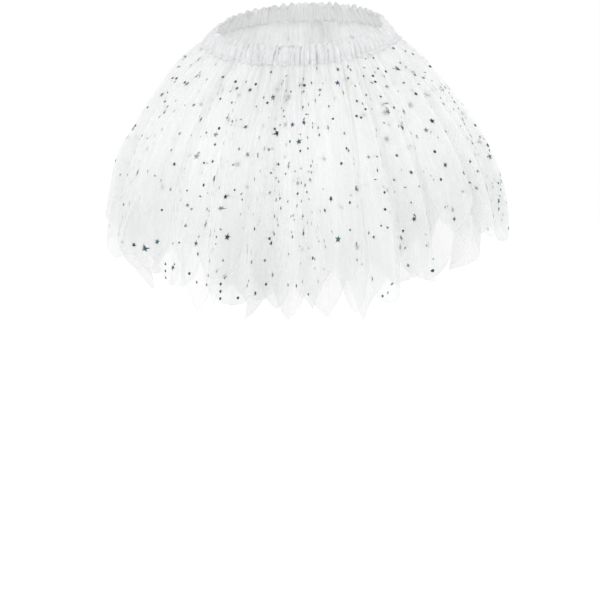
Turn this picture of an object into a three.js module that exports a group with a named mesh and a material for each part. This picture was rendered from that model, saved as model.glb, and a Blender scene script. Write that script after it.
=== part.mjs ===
// A child's tutu: an elastic waistband casing, ruched all round, with three layers of gathered net
// sewn under it. The net springs out of the waist in small gathers, opens into deep flutes and ends
// in long ragged points. It keeps the hollow form that it has when it is worn.
// Millimetres, +Z up. The front faces -Y, and the origin is the centre of the waist, where it is held.
import * as THREE from "three";

const rad = THREE.MathUtils.degToRad;

// ---- Driving dimensions ----

const WAIST = {
  halfWidth: 97, // of the waistband's middle line, along X
  halfDepth: 76, // and along Y
  dipForward: 14, // degrees that the waist drops towards the front
  riseSide: 3, // degrees that it rises towards +X
};

const BAND = {
  height: 20, // along the casing, from its ruched top edge to the seam
  topHalf: 1.5, // half the casing's thickness below its top edge
  middleHalf: 1.7, // and at its middle
  seamHalf: 3.4, // and at the seam, where three gathered layers go into it
  shoulder: 1.6, // how far below the top edge the casing is at full thickness
  ruche: 1.1, // how far each small pleat of the casing stands out
};

const NET = {
  thick: 1.2, // of each layer's wall
  seamGap: 0.4, // between the casing and the net
  fullLength: 300, // a layer's usual length along the cloth, from the seam
  gatherTop: 1.1, // how far the gathers stand out at the seam
  gatherMost: 2.8, // and a little below it
  gatherMostAt: 30,
  gatherEnd: 110, // where the last gather has run out into a flute
  flute: 13.5, // how far a usual flute stands in and out at the full length
  fluteGrowth: 0.85, // power of the length by which the flutes deepen
};

const GATHERS_PER_FLUTE = 2; // the gathers that run together into one flute
const COLUMNS_PER_FLUTE = 3 * GATHERS_PER_FLUTE; // one for each gather's ridge and two for its valley

// The skirt's fall in four directions, in degrees from the front round to +X. bandRun is how far the
// casing leans out. The slopes are degrees below the horizontal, at the seam and at the full length,
// and bend is the power of the length by which one becomes the other.
const FALLS = [
  { towards: 0, bandRun: 6, slopeTop: 58, slopeHem: 84, bend: 0.9 }, // the front, -Y
  { towards: 90, bandRun: 13, slopeTop: 46, slopeHem: 109, bend: 1.8 }, // +X
  { towards: 180, bandRun: 6, slopeTop: 50, slopeHem: 88, bend: 1 }, // the back, +Y
  { towards: 270, bandRun: 13, slopeTop: 36, slopeHem: 101, bend: 0.85 }, // -X
];

// The layers, from the outside in: how far each lies outside the middle one at the seam and at the
// full length, where its points are cut, as a share of a flute on from the flute's crest, how blunt
// they are, from 1 for straight sides up, and how deep its notches are against those of FLUTES.
const LAYERS = [
  { name: "outer", seamOut: 2.8, hemOut: 9, pointAt: 0, blunt: 1.3, notched: 1.45 },
  { name: "middle", seamOut: 0.1, hemOut: 0.4, pointAt: 1 / 3, blunt: 1, notched: 1.1 },
  { name: "inner", seamOut: -2.8, hemOut: -9, pointAt: 2 / 3, blunt: 1, notched: 1 },
];

// One row for each flute: the direction of its crest, its depth as a share of a usual one, the length
// of each layer's point there, and how deep the notch after each point is cut.
const FLUTES = [
  { at: 0, depth: 1.0, outer: 268, middle: 286, inner: 296, notch: 48 },
  { at: 14, depth: 0.8, outer: 252, middle: 292, inner: 304, notch: 30 },
  { at: 28, depth: 1.1, outer: 284, middle: 270, inner: 272, notch: 46 },
  { at: 42, depth: 0.9, outer: 268, middle: 278, inner: 282, notch: 48 },
  { at: 55, depth: 1.15, outer: 228, middle: 246, inner: 286, notch: 46 },
  { at: 70, depth: 0.9, outer: 250, middle: 262, inner: 258, notch: 30 },
  { at: 86, depth: 1.0, outer: 272, middle: 262, inner: 266, notch: 40 },
  { at: 103, depth: 1.1, outer: 262, middle: 284, inner: 290, notch: 52 },
  { at: 119, depth: 0.85, outer: 248, middle: 276, inner: 300, notch: 34 },
  { at: 134, depth: 1.1, outer: 272, middle: 290, inner: 294, notch: 44 },
  { at: 150, depth: 0.9, outer: 240, middle: 280, inner: 304, notch: 30 },
  { at: 165, depth: 1.05, outer: 266, middle: 292, inner: 296, notch: 50 },
  { at: 180, depth: 0.85, outer: 250, middle: 278, inner: 302, notch: 36 },
  { at: 196, depth: 1.1, outer: 276, middle: 288, inner: 292, notch: 46 },
  { at: 211, depth: 0.95, outer: 242, middle: 294, inner: 300, notch: 32 },
  { at: 226, depth: 1.15, outer: 264, middle: 276, inner: 304, notch: 54 },
  { at: 241, depth: 0.85, outer: 238, middle: 288, inner: 290, notch: 34 },
  { at: 257, depth: 1.0, outer: 268, middle: 282, inner: 296, notch: 42 },
  { at: 273, depth: 1.0, outer: 234, middle: 274, inner: 306, notch: 30 },
  { at: 290, depth: 0.9, outer: 252, middle: 253, inner: 272, notch: 46 },
  { at: 306, depth: 1.1, outer: 246, middle: 276, inner: 276, notch: 58 },
  { at: 320, depth: 0.85, outer: 266, middle: 294, inner: 292, notch: 34 },
  { at: 333, depth: 1.1, outer: 252, middle: 284, inner: 296, notch: 40 },
  { at: 347, depth: 0.95, outer: 272, middle: 284, inner: 296, notch: 32 },
];

// Distances below the seam of the rings that run level round a layer, and the shares of what is left
// of each column at which the last rings follow its points.
const LEVEL_RINGS = [0, 13, 38, 82, 140];
const POINT_RINGS = [0.5, 1];

// ---- The form ----

// A value of FALLS in a direction: each row counts by the square of the cosine of the angle to it, and
// the squares add up to one.
function fallIn(direction, name) {
  return FALLS.reduce((sum, row) => {
    const share = Math.max(0, Math.cos(direction - rad(row.towards)));
    return sum + share * share * row[name];
  }, 0);
}

// The columns round the skirt: each one's direction, the flute that it belongs to and how far on from
// that flute's crest it stands.
function columnsRound() {
  return FLUTES.flatMap((flute, i) => {
    const next = FLUTES[(i + 1) % FLUTES.length];
    const width = (next.at - flute.at + 360) % 360;
    return Array.from({ length: COLUMNS_PER_FLUTE }, (_, j) => {
      const on = j / COLUMNS_PER_FLUTE;
      const depth = THREE.MathUtils.lerp(flute.depth, next.depth, on);
      return { flute: i, on, direction: rad(flute.at + width * on), depth };
    });
  });
}

// A point out from the waist's middle line and up from the waist's own tilted plane.
function atWaist(direction, out, up) {
  const x = (WAIST.halfWidth + out) * Math.sin(direction);
  const y = -(WAIST.halfDepth + out) * Math.cos(direction);
  const waistX = WAIST.halfWidth * Math.sin(direction);
  const waistY = -WAIST.halfDepth * Math.cos(direction);
  const tilt = waistY * Math.tan(rad(WAIST.dipForward)) + waistX * Math.tan(rad(WAIST.riseSide));
  return new THREE.Vector3(x, y, up + tilt);
}

// The casing's middle line in a direction: out and up at a distance down from its top edge.
function casingLine(direction, down) {
  const run = fallIn(direction, "bandRun");
  const drop = Math.sqrt(BAND.height ** 2 - run ** 2);
  const share = down / BAND.height;
  return { out: run * share, up: drop * (0.5 - share) };
}

// The middle layer's fall without its folds: out and up at a distance below the seam, in small steps.
function netLine(direction, distance) {
  const step = 5;
  const seam = casingLine(direction, BAND.height);
  const top = fallIn(direction, "slopeTop");
  const hem = fallIn(direction, "slopeHem");
  const bend = fallIn(direction, "bend");
  let { out } = seam;
  let up = seam.up - NET.seamGap;
  for (let from = 0; from < distance; from += step) {
    const length = Math.min(step, distance - from);
    const slope = rad(top + (hem - top) * ((from + length / 2) / NET.fullLength) ** bend);
    out += length * Math.cos(slope);
    up -= length * Math.sin(slope);
  }
  return { out, up };
}

// How far the gathers stand out at a distance below the seam.
function gatherDepth(distance) {
  const { gatherTop, gatherMost, gatherMostAt, gatherEnd } = NET;
  if (distance < gatherMostAt) return THREE.MathUtils.lerp(gatherTop, gatherMost, distance / gatherMostAt);
  return gatherMost * (1 - THREE.MathUtils.smoothstep(distance, gatherMostAt, gatherEnd));
}

// How far out the folds push a layer: the gathers, which run out, and the flutes, which deepen.
function foldOut(column, distance) {
  const turn = 2 * Math.PI * column.on;
  const gather = gatherDepth(distance) * Math.cos(GATHERS_PER_FLUTE * turn);
  const grown = (distance / NET.fullLength) ** NET.fluteGrowth;
  return gather + NET.flute * column.depth * grown * Math.cos(turn);
}

// A layer's length in a column: its points fall between the notches on either side.
function hemLength(layer, column) {
  const place = column.flute + column.on - layer.pointAt;
  const before = Math.floor(place);
  const on = place - before;
  const flute = FLUTES[(before + FLUTES.length) % FLUTES.length];
  const next = FLUTES[(before + 1) % FLUTES.length];
  const notch = Math.min(flute[layer.name], next[layer.name]) - flute.notch * layer.notched;
  const point = on < 0.5 ? flute[layer.name] : next[layer.name];
  return point - (point - notch) * (2 * Math.min(on, 1 - on)) ** layer.blunt;
}

// A layer's middle surface as rings of points, from the seam to the points of its hem.
function netRings(layer, columns) {
  const level = LEVEL_RINGS.at(-1);
  const rings = [
    ...LEVEL_RINGS.map((down) => () => down),
    ...POINT_RINGS.map((share) => (length) => THREE.MathUtils.lerp(level, length, share)),
  ];
  return rings.map((downFor) =>
    columns.map((column) => {
      const distance = downFor(hemLength(layer, column));
      const line = netLine(column.direction, distance);
      const apart = THREE.MathUtils.lerp(layer.seamOut, layer.hemOut, distance / NET.fullLength);
      return atWaist(column.direction, line.out + apart + foldOut(column, distance), line.up);
    }),
  );
}

// ---- Solids ----

// One closed solid from loops of points that run round the waist, each joined to the next, and the
// last to the first. The second half of them is the inside, which goes back up: its quads are split
// along the same diagonals as the outside's, so that the wall stays as thick where they are twisted.
function solidFromLoops(loops) {
  const count = loops[0].length;
  const positions = loops.flat().flatMap((p) => p.toArray());
  const index = [];
  loops.forEach((_, row) => {
    const nextRow = (row + 1) % loops.length;
    for (let i = 0; i < count; i++) {
      const j = (i + 1) % count;
      const [a, b] = [row * count + i, row * count + j];
      const [c, d] = [nextRow * count + j, nextRow * count + i];
      if (row < loops.length / 2) index.push(a, c, b, a, d, c);
      else index.push(a, d, b, b, d, c);
    }
  });
  const geometry = new THREE.BufferGeometry();
  geometry.setAttribute("position", new THREE.Float32BufferAttribute(positions, 3));
  geometry.setIndex(index);
  geometry.computeVertexNormals();
  return geometry;
}

// The outward normals of a sheet given as rings of points, level along the seam.
function sheetNormals(rings) {
  const count = rings[0].length;
  return rings.map((ring, r) =>
    ring.map((point, i) => {
      const along = ring[(i + 1) % count].clone().sub(ring[(i + count - 1) % count]);
      const down = rings[Math.min(r + 1, rings.length - 1)][i].clone().sub(rings[Math.max(r - 1, 0)][i]);
      const normal = down.cross(along);
      if (r === 0) normal.z = 0;
      return normal.normalize();
    }),
  );
}

// A wall of the given thickness round a sheet: its outside from the seam down, then its inside back up.
function wallSolid(rings, thick) {
  const normals = sheetNormals(rings);
  const moved = (offset) =>
    rings.map((ring, r) => ring.map((p, i) => p.clone().addScaledVector(normals[r][i], offset)));
  return solidFromLoops([...moved(thick / 2), ...moved(-thick / 2).reverse()]);
}

// The casing: a ruched tube of cloth and elastic, thin at its top edge and full where the net goes in.
function casingSolid(columns) {
  const section = [
    { down: 0, half: 0 },
    { down: BAND.shoulder, half: BAND.topHalf },
    { down: BAND.height / 2, half: BAND.middleHalf },
    { down: BAND.height, half: BAND.seamHalf },
  ];
  const outside = section.map(({ down, half }) => ({ down, off: half }));
  const inside = section.slice(1).reverse().map(({ down, half }) => ({ down, off: -half }));
  const loops = [...outside, ...inside].map(({ down, off }) =>
    columns.map(({ direction, on }) => {
      const line = casingLine(direction, down);
      const pleat = BAND.ruche * Math.cos(2 * Math.PI * GATHERS_PER_FLUTE * on);
      const lift = down === 0 ? pleat : 0;
      return atWaist(direction, line.out + off + pleat, line.up + lift);
    }),
  );
  return solidFromLoops(loops);
}

function cloth(name, geometry, color, roughness) {
  const mesh = new THREE.Mesh(geometry, new THREE.MeshStandardMaterial({ color, roughness, metalness: 0 }));
  mesh.name = name;
  return mesh;
}

const columns = columnsRound();
const tutu = new THREE.Group();
tutu.add(cloth("waistband", casingSolid(columns), 0xf7f7f8, 0.45));
for (const layer of LAYERS) {
  tutu.add(cloth(`net_${layer.name}`, wallSolid(netRings(layer, columns), NET.thick), 0xf1f3f6, 0.8));
}

export default tutu;
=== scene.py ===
"""The looks of a child's tutu: a ruched satin waistband and three layers of net, two of them foil-printed.

The form repeats the CAD's: a tilted oval waist, net that springs out of it and falls in flutes, and hems cut
into points. Here each net layer is a thin sheet with its finer folds, crinkles and ragged cut. Lengths of the
form are in millimetres and become metres where meshes are made. The front faces -Y. Directions count round
from the front towards +X, and places round the waist are counted in flutes.
"""
import itertools
import math
from collections import namedtuple

import bpy
import numpy as np
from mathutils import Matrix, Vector


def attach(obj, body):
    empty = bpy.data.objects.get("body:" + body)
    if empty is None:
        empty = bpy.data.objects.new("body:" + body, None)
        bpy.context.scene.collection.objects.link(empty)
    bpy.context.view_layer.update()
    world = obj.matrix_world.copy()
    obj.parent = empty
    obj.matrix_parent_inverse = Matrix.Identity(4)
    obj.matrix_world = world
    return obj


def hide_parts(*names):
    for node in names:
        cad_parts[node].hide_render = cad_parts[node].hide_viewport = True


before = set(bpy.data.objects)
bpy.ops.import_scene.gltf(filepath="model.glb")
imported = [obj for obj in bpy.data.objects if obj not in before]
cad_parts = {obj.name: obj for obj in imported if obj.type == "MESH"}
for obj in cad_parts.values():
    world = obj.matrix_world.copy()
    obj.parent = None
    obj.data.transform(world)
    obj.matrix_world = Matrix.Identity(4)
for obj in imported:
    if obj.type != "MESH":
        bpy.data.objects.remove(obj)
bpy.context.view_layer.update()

MM = 0.001

# ---- Driving dimensions, as the CAD has them ----

WAIST_HALF_X = 97
WAIST_HALF_Y = 76
DIP_FORWARD = math.radians(14)  # of the waist's plane, down towards the front
RISE_SIDE = math.radians(3)  # and up towards +X

BAND_HEIGHT = 20
SEAM_GAP = 0.4  # between the band's foot and the net's first row
FULL_LENGTH = 300  # of a net layer along the cloth, from the seam
FLUTE_DEPTH = 13.5
FLUTE_GROWTH = 0.85  # flutes deepen by this power of the distance below the seam

# How the skirt leaves the waist on each side: degrees round to that side, how far the band spreads, the
# cloth's slopes below level at its seam and its hem, and how late the one becomes the other.
Fall = namedtuple("Fall", "towards band_run slope_top slope_hem bend")
FALLS = [
    Fall(0, 6, 58, 84, 0.9),  # the front
    Fall(90, 13, 46, 109, 1.8),  # +X
    Fall(180, 6, 50, 88, 1),  # the back
    Fall(270, 13, 36, 101, 0.85),  # -X
]

# One flute and the points at its foot: degrees round, depth against FLUTE_DEPTH, the length of each layer's
# point, and how deep the notch after it is cut.
Flute = namedtuple("Flute", "at depth outer middle inner notch")
FLUTES = [
    Flute(0, 1.0, 268, 286, 296, 48),
    Flute(14, 0.8, 252, 292, 304, 30),
    Flute(28, 1.1, 284, 270, 272, 46),
    Flute(42, 0.9, 268, 278, 282, 48),
    Flute(55, 1.15, 228, 246, 286, 46),
    Flute(70, 0.9, 250, 262, 258, 30),
    Flute(86, 1.0, 272, 262, 266, 40),
    Flute(103, 1.1, 262, 284, 290, 52),
    Flute(119, 0.85, 248, 276, 300, 34),
    Flute(134, 1.1, 272, 290, 294, 44),
    Flute(150, 0.9, 240, 280, 304, 30),
    Flute(165, 1.05, 266, 292, 296, 50),
    Flute(180, 0.85, 250, 278, 302, 36),
    Flute(196, 1.1, 276, 288, 292, 46),
    Flute(211, 0.95, 242, 294, 300, 32),
    Flute(226, 1.15, 264, 276, 304, 54),
    Flute(241, 0.85, 238, 288, 290, 34),
    Flute(257, 1.0, 268, 282, 296, 42),
    Flute(273, 1.0, 234, 274, 306, 30),
    Flute(290, 0.9, 252, 253, 272, 46),
    Flute(306, 1.1, 246, 276, 276, 58),
    Flute(320, 0.85, 266, 294, 292, 34),
    Flute(333, 1.1, 252, 284, 296, 40),
    Flute(347, 0.95, 272, 284, 296, 32),
]

# How far a layer hangs outside the middle surface at its seam and hem, how far round from the flutes its
# points lie, how blunt they are, how deep its notches are against those of FLUTES, and its seed.
Layer = namedtuple("Layer", "name seam_out hem_out point_at blunt notched seed")
LAYERS = [
    Layer("outer", 2.8, 9, 0, 1.3, 1.45, 11),
    Layer("middle", 0.1, 0.4, 1 / 3, 1, 1.1, 23),
    Layer("inner", -2.8, -9, 2 / 3, 1, 1, 37),
]

# ---- Dimensions of what only shows here ----

FLAT_WIDTH = 1500  # of each strip of net before it is gathered

GATHERS_PER_FLUTE = 2

# Depths of the finer folds, as pairs of a distance below the seam and the depth there.
GATHER_DEPTHS = [(0, 1.1), (30, 1.8), (110, 0.3), (320, 0)]
PUCKER_DEPTHS = [(0, 1.8), (12, 3.4), (40, 2.6), (90, 0.9), (150, 0.2), (320, 0)]
CRINKLE_DEPTHS = [(0, 0.35), (25, 0.55), (90, 0.15), (320, 0.04)]
RIPPLE_DEPTHS = [(0, 0), (60, 0.5), (320, 1.5)]
OVERHANGS = [(0, 0), (40, 0.03), (140, 0.06), (220, 0.035), (290, -0.02)]  # of a flute's flanks, in pitches

WANDER = 0.22  # how far folds wander sideways, in flutes
OWN_WANDER = 0.025  # and how far each layer's own do
FREE_TO_WANDER = 60  # the distance below the seam from which they wander fully
BOLDNESS = 0.3  # how much flutes vary in depth down and round the net
CREST = (0.16, 1)  # the share and phase of the second wave that makes a flute's crest uneven
UNEVENNESS = 0.35  # how much gathers and puckers vary
PUCKER_DRIFT = 0.25  # how far puckers drift sideways, in flutes
FREE_TO_DRIFT = 100  # the distance below the seam from which they do so fully
CURL = 3.8  # how far the points curl in or out
CURL_POWER = 4  # they do so by this power of the distance below the seam
POINT_SKEW = (0.85, 1.2)  # how far a point leans to one side: 1 is upright
POINT_BLUNT = (0.95, 2.2)  # how blunt each point is, against its layer's usual ones
RAG_DEPTH = (0.3, 3.5)  # of the small points that the hem is cut into
RAG_WIDTH = (0.2, 0.6)  # in flutes

# The arches between the creases that the elastic draws in.
PUCKER_WIDTH = (4.2, 9)  # along the waist
PUCKER_HEIGHT = (0.5, 1.3)
PUCKER_FLOOR = (-0.9, -0.3)
PUCKER_ROUNDNESS = 0.7  # the power of the sine that each arch follows

# The smooth irregular fields that fold the cloth: how many waves each sums up, the fewest and the most turns
# that they make round the waist, and the most that they lean, in radians over FULL_LENGTH.
Waves = namedtuple("Waves", "count slowest fastest drift")
WAVES = {
    "wander": Waves(10, 3, 16, 2.5),
    "own wander": Waves(8, 3, 16, 2.5),
    "boldness": Waves(8, 4, 13, 2),
    "unevenness": Waves(8, 20, 60, 2),
    "pucker drift": Waves(8, 6, 30, 6),
    "crinkle": Waves(16, 70, 150, 6),
    "ripple": Waves(12, 26, 55, 3),
    "curl": Waves(10, 12, 40, 1),
    "casing sway": Waves(10, 10, 45, 3),
    "casing cross": Waves(10, 6, 30, 5),
    "casing grain": Waves(12, 120, 260, 3),
    "casing puff": Waves(8, 5, 18, 0.5),
    "casing edge": Waves(8, 30, 80, 0),
}

# The creases that stand out: a ridge where the depth is over 0 and a trough where it is under. Degrees round
# from the front, from and to as distances below the seam, half width in degrees, depth, and lean in degrees.
Crease = namedtuple("Crease", "at start end width depth lean")
CREASES = [
    Crease(-67, 0, 90, 1.6, -3, -3),
    Crease(-63, 130, 250, 1.7, 5, -3),
    Crease(-57, 110, 260, 1.6, -6, -4),
    Crease(-45, 0, 110, 1.5, -4.5, -2),
    Crease(-45, 120, 250, 1.8, 5, -4),
    Crease(-40, 0, 60, 1.2, -3.5, 1),
    Crease(-33, 0, 140, 1.4, -3, -1),
    Crease(-22, 0, 100, 1.3, -4, 1),
    Crease(-15, 0, 70, 1.1, -3, 0),
    Crease(-9, 0, 240, 1.3, 4, 2),
    Crease(-4, 0, 80, 1, -3, 0),
    Crease(3, 130, 260, 2, -5, 1),
    Crease(4, 0, 60, 1.1, -3, 0),
    Crease(11, 0, 120, 1.3, -3.5, 1),
    Crease(18, 0, 90, 1.2, -2.5, 2),
    Crease(27, 20, 190, 1.6, -3.5, -1),
    Crease(37, 0, 80, 1.4, -3, 1),
    Crease(41, 30, 250, 1.7, 5, -1),
    Crease(47, 120, 265, 1.6, -6, 2),
    Crease(51, 140, 270, 1.4, 5, 3),
    Crease(54, 0, 110, 1.5, -3, 2),
    Crease(63, 90, 240, 2, -4, 3),
]
CREASE_PEAK = 0.7  # under 1, a crease that starts below the seam is deepest above its middle
CREASE_ONSET = 8  # the distance over which one that starts at the seam deepens
CREASE_AT_SEAM = 0.3  # from this share of its depth

# More creases of the same kind, where the front ones don't reach.
HIDDEN_CREASES = 34
HIDDEN_FROM = 75
HIDDEN_TO = 285
HIDDEN_SHIFT = (-3, 3)  # degrees off an even spacing, and degrees of lean
HIDDEN_STARTS = [0, 0, 20, 120]
HIDDEN_DEPTHS = [-4, -3, -3, 4.5]
HIDDEN_LENGTH = (60, 150)
HIDDEN_WIDTH = (1.1, 2)

CASING_SEED = 3  # of the puckers, which run from the casing into the net
CREASE_SEED = 8
SHARED_SEED = 5  # of the folds that all layers share, so that they lie in each other

COLUMNS_PER_FLUTE = 46
NET_ROWS = 62
ROW_CROWDING = 1.08  # over 1, a sheet's rows lie closer together near the seam
FALL_STEP = 3  # along the cloth, between the points that its fall is summed up at
FALL_END = 330  # beyond the longest cloth
BACK = len(FLUTES) / 2  # the flute at the centre back, where each strip starts and ends


def interp_table(table, at):
    places, values = zip(*table)
    return np.interp(at, places, values)


# ---- The form ----


def fall_in(direction, column):
    """A value of FALLS in each direction: rows count by the square of the cosine of the angle to them."""
    total = np.zeros_like(direction)
    for row in FALLS:
        share = np.maximum(0, np.cos(direction - math.radians(row.towards)))
        total += share**2 * getattr(row, column)
    return total


def flute_value(place, column):
    """A value of FLUTES at a place counted in flutes round from the front's."""
    values = [getattr(row, column) for row in FLUTES]
    return np.interp(place % len(FLUTES), range(len(FLUTES) + 1), values + values[:1])


def direction_of(place):
    """The direction of a place counted in flutes, in radians round from the front."""
    angles = [row.at for row in FLUTES] + [360]
    return np.radians(np.interp(place % len(FLUTES), range(len(FLUTES) + 1), angles))


def at_waist(direction, out, up):
    """Points out from the waist's middle line and up from the waist's tilted plane, in metres."""
    tilt = WAIST_HALF_X * np.sin(direction) * math.tan(RISE_SIDE)
    tilt = tilt - WAIST_HALF_Y * np.cos(direction) * math.tan(DIP_FORWARD)
    x = (WAIST_HALF_X + out) * np.sin(direction)
    y = -(WAIST_HALF_Y + out) * np.cos(direction)
    return np.stack([x, y, up + tilt], axis=-1) * MM


def casing_line(direction, down):
    """The band's face without its ruches: out and up at a distance below its top."""
    run = fall_in(direction, "band_run")
    drop = np.sqrt(BAND_HEIGHT**2 - run**2)
    share = down / BAND_HEIGHT
    return run * share, drop * (0.5 - share)


def net_line(direction, distance):
    """The middle layer's fall without its folds: out and up at a distance below the seam."""
    top, hem, bend = (fall_in(direction, name) for name in ("slope_top", "slope_hem", "bend"))
    middles = np.arange(FALL_STEP / 2, FALL_END, FALL_STEP)[:, None]
    slopes = np.radians(top + (hem - top) * (middles / FULL_LENGTH) ** bend)
    seam_out, seam_up = casing_line(direction, BAND_HEIGHT)
    start = np.zeros((1, len(direction)))
    outs = seam_out + np.vstack([start, np.cumsum(FALL_STEP * np.cos(slopes), axis=0)])
    ups = seam_up - SEAM_GAP - np.vstack([start, np.cumsum(FALL_STEP * np.sin(slopes), axis=0)])
    place = distance / FALL_STEP
    row = np.floor(place).astype(int)
    share = place - row
    column = np.arange(len(direction))[None, :]
    out = outs[row, column] * (1 - share) + outs[row + 1, column] * share
    up = ups[row, column] * (1 - share) + ups[row + 1, column] * share
    return out, up


def waves(name, place, distance, rng):
    """A field of WAVES, mostly between -1 and 1: waves round the waist that drift sideways down the net."""
    kind = WAVES[name]
    total = np.zeros(np.broadcast(place, distance).shape)
    for turns in rng.integers(kind.slowest, kind.fastest + 1, kind.count):
        phase = rng.uniform(0, 2 * math.pi)
        lean = rng.uniform(-kind.drift, kind.drift)
        angle = 2 * math.pi * turns * place / len(FLUTES)
        total += np.cos(angle + lean * distance / FULL_LENGTH + phase)
    return total / math.sqrt(kind.count)


def rags(place, rng):
    """The depth of the small points along a cut edge: a zigzag of uneven steps."""
    knots = [BACK - 1]
    while knots[-1] < BACK + len(FLUTES) + 1:
        knots.append(knots[-1] + rng.uniform(*RAG_WIDTH))
    depths = rng.uniform(*RAG_DEPTH, len(knots))
    depths[::2] = 0
    return np.interp(place, knots, depths)


def hem_length(layer, place):
    """A layer's length: its points fall between the notches on either side, and are ragged all along."""
    moved = place - layer.point_at
    before = np.floor(moved).astype(int)
    count = len(FLUTES)
    own = np.random.default_rng(layer.seed + 1)
    skews = own.uniform(*POINT_SKEW, count)
    blunts = own.uniform(*POINT_BLUNT, count) * layer.blunt
    on = (moved - before) ** skews[before % count]
    lengths = np.array([getattr(row, layer.name) for row in FLUTES])
    notches = np.array([row.notch for row in FLUTES]) * layer.notched
    here, after = lengths[before % count], lengths[(before + 1) % count]
    notch = np.minimum(here, after) - notches[before % count]
    point = np.where(on < 0.5, here, after)
    blunt = np.where(on < 0.5, blunts[before % count], blunts[(before + 1) % count])
    cut = point - (point - notch) * (2 * np.minimum(on, 1 - on)) ** blunt
    return cut - rags(place, np.random.default_rng(layer.seed))


def puckers(place, seed):
    """The uneven arches between the creases that the elastic draws in, round the whole waist."""
    rng = np.random.default_rng(seed)
    waist = 2 * math.pi * math.sqrt((WAIST_HALF_X**2 + WAIST_HALF_Y**2) / 2)
    widths = rng.uniform(*PUCKER_WIDTH, int(waist / np.mean(PUCKER_WIDTH)))
    knots = np.append(0, np.cumsum(widths)) / widths.sum() * len(FLUTES)
    heights = rng.uniform(*PUCKER_HEIGHT, len(widths))
    floors = rng.uniform(*PUCKER_FLOOR, len(widths))
    at = place % len(FLUTES)
    arch = np.clip(np.searchsorted(knots, at, side="right") - 1, 0, len(widths) - 1)
    share = (at - knots[arch]) / (knots[arch + 1] - knots[arch])
    floor = np.interp(at, knots, np.append(floors, floors[0]))
    return floor + heights[arch] * np.sin(math.pi * share) ** PUCKER_ROUNDNESS


def hidden_creases(rng):
    """Creases round the sides and the back."""
    creases = []
    evenly = np.linspace(HIDDEN_FROM, HIDDEN_TO, HIDDEN_CREASES)
    for at in evenly + rng.uniform(*HIDDEN_SHIFT, HIDDEN_CREASES):
        start = rng.choice(HIDDEN_STARTS)
        depth = rng.choice(HIDDEN_DEPTHS)
        end = start + rng.uniform(*HIDDEN_LENGTH)
        width = rng.uniform(*HIDDEN_WIDTH)
        creases.append(Crease(at, start, end, width, depth, rng.uniform(*HIDDEN_SHIFT)))
    return creases


def creased(direction, down):
    """How far the long creases push the cloth out."""
    total = np.zeros(np.broadcast(direction, down).shape)
    for crease in CREASES + hidden_creases(np.random.default_rng(CREASE_SEED)):
        along = np.clip((down - crease.start) / (crease.end - crease.start), 0, 1)
        middle = math.radians(crease.at) + math.radians(crease.lean) * along
        apart = np.degrees(np.angle(np.exp(1j * (direction - middle)))) / crease.width
        if crease.start:
            fade = np.sin(math.pi * along**CREASE_PEAK)
        else:
            fade = np.clip(down / CREASE_ONSET, CREASE_AT_SEAM, 1) * (1 - along**2)
        total += crease.depth * np.exp(-(apart**2)) * fade
    return total


# A sheet's points: their places round the waist, their distances below the seam, and where they are in
# space, in metres.
Grid = namedtuple("Grid", "places down points")


def net_grid(layer):
    """A layer's sheet with all its folds. The order of the random draws fixes the shape."""
    columns = COLUMNS_PER_FLUTE * len(FLUTES)
    place = np.linspace(BACK, BACK + len(FLUTES), columns + 1)
    direction = direction_of(place)
    length = hem_length(layer, place)
    down = np.linspace(0, 1, NET_ROWS + 1)[:, None] ** ROW_CROWDING * length[None, :]
    out, up = net_line(direction, down)

    rng = np.random.default_rng(layer.seed)
    shared = np.random.default_rng(SHARED_SEED)
    wander = WANDER * waves("wander", place, down, shared)
    wander = wander + OWN_WANDER * waves("own wander", place, down, rng)
    wander = wander * np.clip(down / FREE_TO_WANDER, 0, 1)
    turn = 2 * math.pi * (place + wander)
    grown = (down / FULL_LENGTH) ** FLUTE_GROWTH
    depth = flute_value(place, "depth")
    bolder = 1 + BOLDNESS * waves("boldness", place, down, shared)
    share, phase = CREST
    flute = FLUTE_DEPTH * depth * bolder * grown * (np.cos(turn) + share * np.cos(2 * turn + phase))
    uneven = 1 + UNEVENNESS * waves("unevenness", place, down, shared)
    gather = interp_table(GATHER_DEPTHS, down) * uneven * np.cos(GATHERS_PER_FLUTE * turn)
    drift = PUCKER_DRIFT * waves("pucker drift", place, down, shared) * np.clip(down / FREE_TO_DRIFT, 0, 1)
    gather = gather + interp_table(PUCKER_DEPTHS, down) * uneven * puckers(place + drift, CASING_SEED)
    crinkle = interp_table(CRINKLE_DEPTHS, down) * waves("crinkle", place, down, rng)
    ripple = interp_table(RIPPLE_DEPTHS, down) * waves("ripple", place, down, rng)
    curl = CURL * waves("curl", place, down, rng) * (down / FULL_LENGTH) ** CURL_POWER
    apart = layer.seam_out + (layer.hem_out - layer.seam_out) * down / FULL_LENGTH
    out = out + apart + flute + gather + crinkle + ripple + curl + creased(direction, down)

    pitch = 2 * math.pi / len(FLUTES)
    overhang = interp_table(OVERHANGS, down) * depth * np.sin(2 * turn)
    return Grid(place, down, at_waist(direction - pitch * overhang, out, up))


# ---- Meshes ----


def new_object(name, mesh, material):
    ob = bpy.data.objects.new(name, mesh)
    bpy.context.scene.collection.objects.link(ob)
    if material:
        mesh.materials.append(material)
    return ob


def mesh_of(name, points, faces, smooth=True):
    mesh = bpy.data.meshes.new(name)
    faces = np.asarray(faces)
    mesh.vertices.add(len(points))
    mesh.vertices.foreach_set("co", np.asarray(points, dtype=np.float32).ravel())
    mesh.loops.add(faces.size)
    mesh.loops.foreach_set("vertex_index", faces.ravel().astype(np.int32))
    mesh.polygons.add(len(faces))
    mesh.polygons.foreach_set("loop_start", np.arange(0, faces.size, faces.shape[1], dtype=np.int32))
    mesh.update(calc_edges=True)
    mesh.polygons.foreach_set("use_smooth", np.full(len(faces), smooth))
    return mesh


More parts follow.
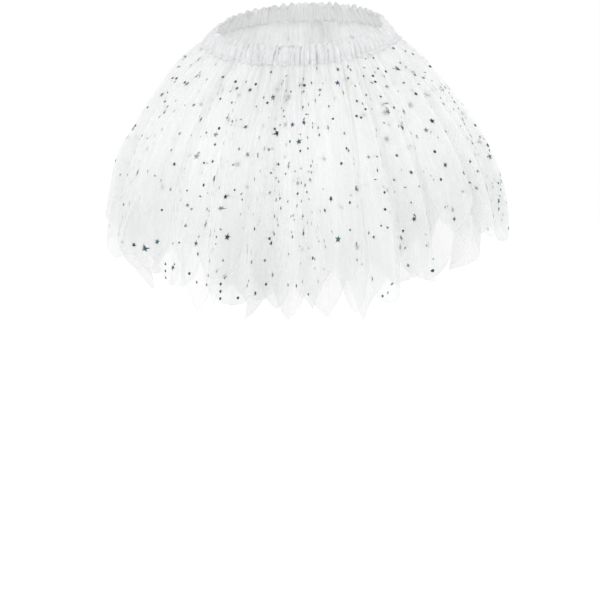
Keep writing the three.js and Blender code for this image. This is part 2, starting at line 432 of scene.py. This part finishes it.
def grid_faces(rows, columns, wrap_rows=False, wrap_columns=False):
    """Quads of a grid of points that is counted row by row."""
    r = np.arange(rows if wrap_rows else rows - 1)
    c = np.arange(columns if wrap_columns else columns - 1)
    r, c = (a.ravel() for a in np.meshgrid(r, c, indexing="ij"))
    r1, c1 = (r + 1) % rows, (c + 1) % columns
    return np.stack([r * columns + c, r1 * columns + c, r1 * columns + c1, r * columns + c1], axis=1)


def add_uv(mesh, across, down, name="Cloth"):
    """A UV map in metres of flat cloth."""
    layer = mesh.uv_layers.new(name=name)
    index = np.empty(len(mesh.loops), dtype=np.int32)
    mesh.loops.foreach_get("vertex_index", index)
    uv = np.stack([across.ravel()[index], down.ravel()[index]], axis=1) * MM
    layer.data.foreach_set("uv", uv.astype(np.float32).ravel())


def net_sheet(layer, grid, material):
    """A layer's mesh, with one UV map of its flat cloth and one of the distance to its cut edge."""
    name = f"net_{layer.name}_sheet"
    down = grid.down
    mesh = mesh_of(name, grid.points.reshape(-1, 3), grid_faces(*down.shape))
    across = np.broadcast_to((grid.places - BACK) / len(FLUTES) * FLAT_WIDTH, down.shape)
    add_uv(mesh, across, down)
    steepness = np.gradient(down[-1], across[0])
    add_uv(mesh, across, (down[-1] - down) / np.sqrt(1 + steepness**2), "Edge")
    return new_object(name, mesh, material)


# ---- Materials ----


NET_HOLE = 1.2 * MM
THREAD = (0.06, 0.24)  # where a thread is full and where it ends, as shares of a hole

# How much the net hides, from 0 to 1, is the sum of these.
IN_HOLE = 0.42
ON_THREAD = 0.6
GATHERED = 0.3  # more at the seam, fading out by GATHERED_TO
GATHERED_TO = 160 * MM
ROLLED = 0.22  # more at the cut edge
ROLLED_FROM_TO = (0.6 * MM, 2.4 * MM)
COCKLED = 0.09  # more in a wider strip along it
COCKLED_TO = 16 * MM
STREAKED = 0.08  # more or less, by a noise drawn out along the folds
STREAK_SCALE = (90, 5, 1)  # across and down the cloth, for each metre, as all these scales are
CLOUDED = 0.16  # more or less, by a broad noise
CLOUD_SCALE = (13, 5, 1)
MIDDLING = (0.3, 0.7)  # the range that a noise mostly keeps to

# The net's colour is painted lighter near the seam, as painted light against the shade that the layers cast
# on each other there, and darker towards the hem, as painted shade.
PAINTED_LIGHT_TO_SHADE_SPAN = (120 * MM, 270 * MM)  # from the seam's tint to the hem's, at distances below the seam
STARRED_PAINTED_LIGHT_AND_SHADE = (0.935, 0.94, 0.94, 1), (0.862, 0.872, 0.87, 1)
PLAIN_PAINTED_LIGHT_AND_SHADE = (0.935, 0.938, 0.932, 1), (0.862, 0.868, 0.862, 1)
LETS_THROUGH = 0.58  # the share of the light on a thread that goes through it
GLOSSY = 0.06

# The satin's colour in the puckers' hollows, painted shade, and on their tops, painted highlight.
SATIN_PAINTED_SHADE_AND_HIGHLIGHT = (0.5, 0.506, 0.52, 1), (0.945, 0.945, 0.947, 1)
SATIN_ROUGHNESS = (0.36, 0.52)
SATIN_WEAVE_SCALE = (2600, 900, 1)
SATIN_WEAVE_HEIGHT = 0.12  # against that of the puckers
SATIN_PUCKER_SCALE = (420, 90, 1)

FOIL_GRAIN_SCALE = 900
FOIL_DARKEST = 0.6  # against a foil's own colour
FOIL_ROUGHNESS = (0.8, 1.3)  # and against its own roughness


class Nodes:
    """A short way to write a material's node tree."""

    def __init__(self, name):
        self.material = bpy.data.materials.new(name)
        self.material.use_nodes = True
        self.tree = self.material.node_tree
        self.tree.nodes.clear()
        self.output = self.tree.nodes.new("ShaderNodeOutputMaterial")

    def add(self, kind, inputs=None, **settings):
        node = self.tree.nodes.new(f"ShaderNode{kind}")
        for key, value in settings.items():
            setattr(node, key, value)
        for key, value in (inputs or {}).items():
            socket = node.inputs[key]
            if isinstance(value, bpy.types.NodeSocket):
                self.tree.links.new(value, socket)
            else:
                socket.default_value = value
        return node

    def math(self, operation, a, b=0.0, clamp=False):
        return self.add("Math", {0: a, 1: b}, operation=operation, use_clamp=clamp).outputs[0]

    def map_range(self, value, low, high, to_low, to_high):
        inputs = {"Value": value, "From Min": low, "From Max": high, "To Min": to_low, "To Max": to_high}
        return self.add("MapRange", inputs).outputs[0]

    def noise(self, at, detail, **inputs):
        """A noise texture over coordinates that are scaled already."""
        return self.add("TexNoise", {"Vector": at, "Scale": 1, "Detail": detail} | inputs).outputs[0]

    def scaled(self, uv, scale):
        return self.add("Mapping", {"Vector": uv, "Scale": scale}).outputs[0]

    def finish(self, shader):
        self.tree.links.new(shader, self.output.inputs["Surface"])
        return self.material


def net_material(name, painted_light_and_shade_tints):
    """Net: threads round small holes, denser where it is gathered, and rolled at its cut edge. Its colour is
    painted lighter near the seam, as painted light against the shade that the layers cast there, and darker
    towards the hem, as painted shade.
    """
    n = Nodes(name)
    uv = n.add("UVMap", uv_map="Cloth").outputs[0]
    settings = {"feature": "DISTANCE_TO_EDGE", "voronoi_dimensions": "2D"}
    holes = n.add("TexVoronoi", {"Vector": uv, "Scale": 1 / NET_HOLE, "Randomness": 1}, **settings).outputs[0]
    threads = n.map_range(holes, *THREAD, 1, 0)
    down = n.add("SeparateXYZ", {0: uv}).outputs[1]
    # painted light near the seam, giving way to painted shade towards the hem
    painted_shade_share = n.map_range(down, *PAINTED_LIGHT_TO_SHADE_SPAN, 0, 1)
    colour_with_painted_light_and_shade = n.add("MixRGB", {0: painted_shade_share, 1: painted_light_and_shade_tints[0], 2: painted_light_and_shade_tints[1]}).outputs[0]
    streak = n.noise(n.scaled(uv, STREAK_SCALE), 2, Roughness=0.5)
    cloud = n.noise(n.scaled(uv, CLOUD_SCALE), 2)
    gathered = n.map_range(down, 0, GATHERED_TO, GATHERED, 0)
    to_edge = n.add("SeparateXYZ", {0: n.add("UVMap", uv_map="Edge").outputs[0]}).outputs[1]
    rolled = n.map_range(to_edge, *ROLLED_FROM_TO, ROLLED, 0)
    cockled = n.map_range(to_edge, 0, COCKLED_TO, COCKLED, 0)
    base = n.math("ADD", n.map_range(threads, 0, 1, IN_HOLE, ON_THREAD), n.math("ADD", rolled, cockled))
    vary = n.map_range(streak, *MIDDLING, -STREAKED, STREAKED)
    drift = n.map_range(cloud, *MIDDLING, -CLOUDED, CLOUDED)
    alpha = n.math("ADD", n.math("ADD", base, gathered), n.math("ADD", vary, drift), clamp=True)
    bump = n.add("Bump", {"Strength": 0.25, "Distance": 0.4 * MM, "Height": streak}).outputs[0]
    diffuse = n.add("BsdfDiffuse", {"Color": colour_with_painted_light_and_shade, "Roughness": 0.4, "Normal": bump}).outputs[0]
    through = n.add("BsdfTranslucent", {"Color": colour_with_painted_light_and_shade}).outputs[0]
    gloss = n.add("BsdfGlossy", {"Color": (1, 1, 1, 1), "Roughness": 0.42, "Normal": bump}).outputs[0]
    cloth = n.add("MixShader", {0: LETS_THROUGH, 1: diffuse, 2: through}).outputs[0]
    cloth = n.add("MixShader", {0: GLOSSY, 1: cloth, 2: gloss}).outputs[0]
    clear = n.add("BsdfTransparent").outputs[0]
    return n.finish(n.add("MixShader", {0: alpha, 1: clear, 2: cloth}).outputs[0])


def satin_material():
    """Satin with a fine weave and small upright puckers that vary its gloss. Its colour is painted darker in
    the puckers' hollows, as painted shade, and lighter on their tops, as painted highlight.
    """
    n = Nodes("satin")
    uv = n.add("UVMap", uv_map="Cloth").outputs[0]
    weave = n.noise(n.scaled(uv, SATIN_WEAVE_SCALE), 1)
    pucker = n.noise(n.scaled(uv, SATIN_PUCKER_SCALE), 3)
    height = n.math("ADD", n.math("MULTIPLY", weave, SATIN_WEAVE_HEIGHT), pucker)
    bump = n.add("Bump", {"Strength": 0.6, "Distance": 0.6 * MM, "Height": height}).outputs[0]
    rough = n.map_range(pucker, *MIDDLING, *SATIN_ROUGHNESS)
    # painted shade in the puckers' hollows and a painted highlight on their tops, following the bump's height
    shade = n.add("MixRGB", {0: pucker, 1: SATIN_PAINTED_SHADE_AND_HIGHLIGHT[0], 2: SATIN_PAINTED_SHADE_AND_HIGHLIGHT[1]}).outputs[0]
    inputs = {"Base Color": shade, "Roughness": rough, "Normal": bump}
    inputs |= {"Sheen Weight": 0.1, "Sheen Roughness": 0.4, "Specular IOR Level": 0.4}
    return n.finish(n.add("BsdfPrincipled", inputs).outputs[0])


def foil_material(name, colour, roughness):
    """Foil in one colour, darker and rougher in places."""
    n = Nodes(name)
    spot = n.add("TexCoord").outputs["Object"]
    grain = n.add("TexNoise", {"Vector": spot, "Scale": FOIL_GRAIN_SCALE, "Detail": 2}).outputs[0]
    dark = tuple(v * FOIL_DARKEST for v in colour[:3]) + (1,)
    shade = n.add("MixRGB", {0: grain, 1: dark, 2: colour}).outputs[0]
    rough = n.map_range(grain, *MIDDLING, *(roughness * share for share in FOIL_ROUGHNESS))
    inputs = {"Base Color": shade, "Roughness": rough, "Metallic": 0.35}
    return n.finish(n.add("BsdfPrincipled", inputs).outputs[0])


def floor_material():
    n = Nodes("floor")
    return n.finish(n.add("BsdfDiffuse", {"Color": (1, 1, 1, 1)}).outputs[0])


# ---- The waistband ----

CASING_COLUMNS = 1680
CASING_ROWS = 44
RUCHE_DEPTH = 3.6  # how far the casing's face stands out between two of its creases

# The casing's section, from the frill at its top down its outside and up its inside: the distance below its
# top, how far it stands out, and its share of the ruches' depth.
CASING_PROFILE = [
    (-2.4, 0.4, 1.3),
    (-1.9, 1.3, 1.35),
    (-0.4, 1.8, 1.1),
    (0.9, 2.2, 0.8),
    (2.4, 3.1, 0.9),
    (4.2, 3.7, 1),
    (6.5, 3.9, 1),
    (9.5, 4.1, 1),
    (12.5, 4, 1),
    (15, 3.5, 0.9),
    (16.6, 2.7, 0.7),
    (17.4, 2.5, 0.6),
    (18.4, 3.2, 0.9),
    (19.8, 3.9, 1.1),
    (20.8, 3.6, 1),
    (21.2, 1.8, 0.4),
    (20.8, -1.4, 0.2),
    (19.6, -2.8, 0.35),
    (16, -2.4, 0.35),
    (11, -2.5, 0.45),
    (6, -2.3, 0.45),
    (2, -1.9, 0.4),
    (0.2, -1.2, 0.7),
    (-1.6, -0.8, 1.2),
]
PROFILE_STEP = 2.4  # of flat cloth between two rows of CASING_PROFILE

# The casing's folds. Down its small height they change this many times as fast as the net's.
FOLDS_DRIFT = 12
GRAIN_DRIFT = 10
SWAY = 0.1  # of the pleats, sideways, in flutes
CROSS_SWAY = 0.3  # of the second pleats that cross them near the top
PLEATS_AT_TOP = 0.55  # the share of the first pleats at the band's top
PLEATS_GAIN = 0.45  # from there to its foot
CROSS_AT_TOP = 0.6  # and the share of the second ones
CROSS_LOSS = 0.45
GRAIN_DEPTH = 0.22
PUFF = 0.14  # how much the casing's thickness varies
CASING_CREASE = 3  # the net's creases at the band's foot, against those in the net
EDGE_WAVE = 1.5  # of the casing's top edge, up and down
FOOT_WAVE = 0.7  # and of its foot, as a share of that
PLEAT_WAVE = 0.5  # how far a pleat lifts either edge
TOP_EDGE_TO = 2  # the distance down that counts as the top edge
FOOT_FROM = 19  # and the one from which it is the foot


def casing(material):
    """The ruched satin casing: a flat tube whose face is drawn into uneven upright pleats by the elastic."""
    place = np.linspace(0, len(FLUTES), CASING_COLUMNS, endpoint=False)[None, :]
    direction = direction_of(place[0])[None, :]
    steps = np.linspace(0, len(CASING_PROFILE) - 1, CASING_ROWS)
    known = range(len(CASING_PROFILE))
    down, stands, share = (np.interp(steps, known, column)[:, None] for column in zip(*CASING_PROFILE))
    rng = np.random.default_rng(CASING_SEED)
    low = np.clip(down / BAND_HEIGHT, 0, 1)
    sway = SWAY * waves("casing sway", place, down * FOLDS_DRIFT, rng)
    cross = CROSS_SWAY * waves("casing cross", place, down * FOLDS_DRIFT, rng)
    pleat = puckers(place + sway * (1 - low), CASING_SEED) * (PLEATS_AT_TOP + PLEATS_GAIN * low)
    pleat = pleat + puckers(place + cross, CASING_SEED + 1) * (CROSS_AT_TOP - CROSS_LOSS * low)
    grain = GRAIN_DEPTH * waves("casing grain", place, down * GRAIN_DRIFT, rng)
    puff = 1 + PUFF * waves("casing puff", place, down, rng)
    crease = CASING_CREASE * low * creased(direction, np.zeros_like(down))
    edge = EDGE_WAVE * waves("casing edge", place, down, rng)
    top_lift = np.where(down < TOP_EDGE_TO, edge + PLEAT_WAVE * pleat, 0)
    foot_lift = np.where(down > FOOT_FROM, FOOT_WAVE * edge + PLEAT_WAVE * pleat, 0)
    out, up = casing_line(direction, down)
    out = out + stands * puff + (RUCHE_DEPTH * pleat + grain + crease) * share
    points = at_waist(direction, out, up + (top_lift - foot_lift))
    rows, columns = points.shape[:2]
    faces = grid_faces(rows, columns, wrap_rows=True, wrap_columns=True)
    mesh = mesh_of("waistband_satin", points.reshape(-1, 3), faces[:, ::-1])
    across = np.broadcast_to(place / len(FLUTES) * FLAT_WIDTH, (rows, columns))
    around = np.broadcast_to(steps[:, None] * PROFILE_STEP, (rows, columns))
    add_uv(mesh, across, around)
    return new_object("waistband_satin", mesh, material)


# ---- The foil print ----

# The kinds of marks: their share of all marks, and their least and greatest radius.
Mark = namedtuple("Mark", "kind share smallest largest")
MARKS = [Mark("star", 0.18, 2.5, 4.6), Mark("dot", 0.59, 1, 1.9), Mark("sliver", 0.23, 1.7, 2.7)]
STAR_POINTS = 5
STAR_INNER = 0.42  # of its radius
DOT_SIDES = 8
SLIVER = ((1, 0.1), (0.2, 0.42), (-1, -0.05), (-0.3, -0.4))
MARK_LIFT = 0.3 * MM  # off the net
REPEAT = (168, 126)  # of the print, across and down the cloth
MARKS_IN_REPEAT = 96
LEAST_APART = 4.2
SEEN_OF_PRINT = {"outer": 0.84, "middle": 0.27}  # the share of marks that hold, where the net isn't gathered
HIDDEN_IN_GATHERS = 1.5  # how fast marks are lost as gathers narrow the net, as a power of the width left
EDGE_MARGIN = 4  # of bare net at the cut edges
SEAM_MARGIN = 3
PRINT_SEED = 29

# Upright rows of three dots that show in the points: a layer and a place round it.
DotRow = namedtuple("DotRow", "layer place")
DOT_ROWS = [DotRow("middle", 20.22), DotRow("middle", 22.1), DotRow("outer", 9), DotRow("middle", 14.4)]
DOTS_IN_ROW = 3
DOT_ROW_STEP = 8
ROW_DOT_SIZE = 1.7
ROW_DOT_COLOUR = 2  # the place of foil_slate below

Foil = namedtuple("Foil", "name colour roughness share")
FOILS = [
    Foil("foil_blue", (0.035, 0.08, 0.16, 1), 0.34, 0.18),
    Foil("foil_teal", (0.045, 0.125, 0.14, 1), 0.3, 0.16),
    Foil("foil_slate", (0.035, 0.04, 0.05, 1), 0.36, 0.34),
    Foil("foil_silver", (0.28, 0.285, 0.29, 1), 0.28, 0.32),
]


def mark_outline(kind, size, turn):
    """Points round a mark's middle, in millimetres."""
    if kind == "star":
        corner = np.arange(2 * STAR_POINTS)
        radius = np.where(corner % 2 == 0, size, size * STAR_INNER)
        angle = corner * math.pi / STAR_POINTS
        x, y = radius * np.cos(angle), radius * np.sin(angle)
    elif kind == "dot":
        angle = np.arange(DOT_SIDES) * math.pi / (DOT_SIDES / 2)
        x, y = size * np.cos(angle), size * np.sin(angle)
    else:
        x, y = size * np.array(SLIVER).T
    return x * math.cos(turn) - y * math.sin(turn), x * math.sin(turn) + y * math.cos(turn)


def print_repeat(rng):
    """The places of the marks in one repeat of the print, none closer than LEAST_APART."""
    places = []
    while len(places) < MARKS_IN_REPEAT:
        new = rng.uniform((0, 0), REPEAT)
        gap = [np.abs(new - old) for old in places]
        gap = [np.hypot(*np.minimum(g, np.array(REPEAT) - g)) for g in gap]
        if not gap or min(gap) > LEAST_APART:
            places.append(new)
    return places


def sample_grid(grid, place, distance):
    """Points and sideways and downward vectors of a sheet, a little short of its last column and row."""
    places, down, points = grid
    column = np.clip((place - places[0]) / (places[1] - places[0]), 0, len(places) - 2.001)
    c = np.floor(column).astype(int)
    length = down[-1][c]
    row = np.clip(distance / length, 0, 0.999) ** (1 / ROW_CROWDING) * NET_ROWS
    r = np.floor(row).astype(int)
    u, v = (column - c)[..., None], (row - r)[..., None]
    p00, p01, p10, p11 = points[r, c], points[r, c + 1], points[r + 1, c], points[r + 1, c + 1]
    top, low = p00 * (1 - u) + p01 * u, p10 * (1 - u) + p11 * u
    return top * (1 - v) + low * v, p01 - p00, p10 - p00


def width_at(grid, place, distance):
    """How wide a flute of the sheet is at a place, in millimetres along the cloth as it hangs."""
    _, side, _ = sample_grid(grid, np.array([place]), np.array([distance]))
    return np.linalg.norm(side[0]) / MM * COLUMNS_PER_FLUTE


def add_mark(made, grid, place, distance, kind, size, turn, colour):
    """Lays one mark on the sheet's outside, as a fan of triangles round its middle."""
    width = width_at(grid, place, distance)
    x, y = mark_outline(kind, size, turn)
    x, y = np.append(x, 0), np.append(y, 0)
    at, side, fall = sample_grid(grid, place + x / width, distance + y)
    normal = np.cross(side, fall)
    normal /= np.linalg.norm(normal, axis=1)[:, None]
    if normal[-1] @ (at[-1] * (1, 1, 0)) < 0:
        normal = -normal
    points, faces, slots = made[kind]
    first, count = sum(map(len, points)), len(x) - 1
    points.append(at + normal * MARK_LIFT)
    for a in range(count):
        faces.append((first + a, first + (a + 1) % count, first + count))
        slots.append(colour)


def print_on(made, grid, layer, rng):
    """The print's repeats over one layer. Where the net is gathered, folds hide some of its marks."""
    spots = print_repeat(rng)
    kinds = rng.choice(len(MARKS), MARKS_IN_REPEAT, p=[mark.share for mark in MARKS])
    flute_width = FLAT_WIDTH / len(FLUTES)
    across_and_down = [range(math.ceil(size / step)) for size, step in zip((FLAT_WIDTH, FULL_LENGTH), REPEAT)]
    repeats = itertools.product(*across_and_down)
    for repeat, (spot, k) in itertools.product(repeats, zip(spots, kinds)):
        across, distance = spot + np.array(REPEAT) * repeat
        mark = MARKS[k]
        turn = rng.uniform(0, 2 * math.pi)
        size = rng.uniform(mark.smallest, mark.largest)
        colour = rng.choice(len(FOILS), p=[foil.share for foil in FOILS])
        keep = rng.uniform()
        if across > FLAT_WIDTH - EDGE_MARGIN:
            continue
        place = BACK + across / flute_width
        length = grid.down[-1][np.searchsorted(grid.places, place) - 1]
        if distance > length - EDGE_MARGIN or distance < SEAM_MARGIN:
            continue
        spread = min(1, width_at(grid, place, distance) / flute_width)
        if keep > SEEN_OF_PRINT[layer] * spread**HIDDEN_IN_GATHERS:
            continue
        add_mark(made, grid, place, distance, mark.kind, size, turn, colour)


def foil_marks(grids):
    """Every mark of the print that shows, as one mesh for each kind."""
    rng = np.random.default_rng(PRINT_SEED)
    made = {mark.kind: ([], [], []) for mark in MARKS}  # points, faces and colours
    for layer in SEEN_OF_PRINT:
        print_on(made, grids[layer], layer, rng)
    for row in DOT_ROWS:
        grid = grids[row.layer]
        place = row.place if row.place >= BACK else row.place + len(FLUTES)
        tip = grid.down[-1][np.searchsorted(grid.places, place)]
        for k in range(DOTS_IN_ROW):
            distance = tip - EDGE_MARGIN - DOT_ROW_STEP * k
            add_mark(made, grid, place, distance, "dot", ROW_DOT_SIZE, 0, ROW_DOT_COLOUR)
    materials = [foil_material(foil.name, foil.colour, foil.roughness) for foil in FOILS]
    objects = []
    for kind, (points, faces, slots) in made.items():
        mesh = mesh_of(f"foil_{kind}s", np.vstack(points), faces, smooth=False)
        ob = new_object(f"foil_{kind}s", mesh, None)
        for material in materials:
            mesh.materials.append(material)
        mesh.polygons.foreach_set("material_index", np.array(slots, dtype=np.int32))
        objects.append(ob)
    return objects


# ---- Stage, light and camera, in metres ----

CAMERA_ELEVATION = math.radians(10)
CAMERA_DISTANCE = 3.0
SENSOR_WIDTH = 36  # in millimetres, as a lens is
SEES_AS_FAR_AS = 200
PIXEL = 1.16 * MM  # at the waist's distance
WAIST_PIXEL = (300, 34)  # where the waist's middle shows
FRAME_PIXELS = 600
FLOOR_Z = -0.645  # where the wearer's feet would be
FLOOR_REACH = 40
LIGHTS_AIM = (0, 0, -0.15)
BOUNCES = 12
DIFFUSE_BOUNCES = 8  # light goes back and forth between the layers
TRANSPARENT_BOUNCES = 48  # and passes through many folds

Light = namedtuple("Light", "name size energy location")
LIGHTS = [Light("key", 0.9, 9, (-0.9, -1.8, 1.3)), Light("rim", 1.0, 5, (1.7, 0.6, 1.2))]


def camera():
    data = bpy.data.cameras.new("camera")
    data.sensor_width = SENSOR_WIDTH
    data.lens = SENSOR_WIDTH * CAMERA_DISTANCE / (FRAME_PIXELS * PIXEL)
    data.clip_end = SEES_AS_FAR_AS
    ob = bpy.data.objects.new("camera", data)
    bpy.context.scene.collection.objects.link(ob)
    right = (FRAME_PIXELS / 2 - WAIST_PIXEL[0]) * PIXEL
    up = -(FRAME_PIXELS / 2 - WAIST_PIXEL[1]) * PIXEL
    sin, cos = math.sin(CAMERA_ELEVATION), math.cos(CAMERA_ELEVATION)
    ob.location = (right, up * sin - CAMERA_DISTANCE * cos, up * cos + CAMERA_DISTANCE * sin)
    ob.rotation_euler = (math.radians(90) - CAMERA_ELEVATION, 0, 0)
    bpy.context.scene.camera = ob


def area_light(light):
    data = bpy.data.lights.new(light.name, "AREA")
    data.shape = "SQUARE"
    data.size = light.size
    data.energy = light.energy
    ob = bpy.data.objects.new(light.name, data)
    ob.location = light.location
    ob.rotation_euler = (Vector(light.location) - Vector(LIGHTS_AIM)).to_track_quat("Z", "Y").to_euler()
    bpy.context.scene.collection.objects.link(ob)


def stage():
    scene = bpy.context.scene
    scene.view_settings.view_transform = "Standard"
    scene.cycles.max_bounces = BOUNCES
    scene.cycles.diffuse_bounces = DIFFUSE_BOUNCES
    scene.cycles.transparent_max_bounces = TRANSPARENT_BOUNCES
    world = bpy.data.worlds.new("studio")
    world.use_nodes = True
    background = world.node_tree.nodes["Background"]
    background.inputs["Color"].default_value = (1, 1, 1, 1)
    background.inputs["Strength"].default_value = 1.0
    scene.world = world
    for light in LIGHTS:
        area_light(light)
    corners = [(x * FLOOR_REACH, y * FLOOR_REACH, FLOOR_Z) for x, y in ((-1, -1), (1, -1), (1, 1), (-1, 1))]
    floor = new_object("floor", mesh_of("floor", corners, [(0, 1, 2, 3)]), floor_material())


# ---- The piece list ----


def main():
    camera()
    stage()
    starred = net_material("net_starred", STARRED_PAINTED_LIGHT_AND_SHADE)
    plain = net_material("net_plain", PLAIN_PAINTED_LIGHT_AND_SHADE)
    band = casing(satin_material())
    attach(band, "root")
    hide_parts("waistband")
    grids = {}
    for layer in LAYERS:
        printed = layer.name in SEEN_OF_PRINT
        grid = grids[layer.name] = net_grid(layer)
        ob = net_sheet(layer, grid, starred if printed else plain)
        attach(ob, "root")
        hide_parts(f"net_{layer.name}")
    for marks in foil_marks(grids):
        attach(marks, "root")


main()
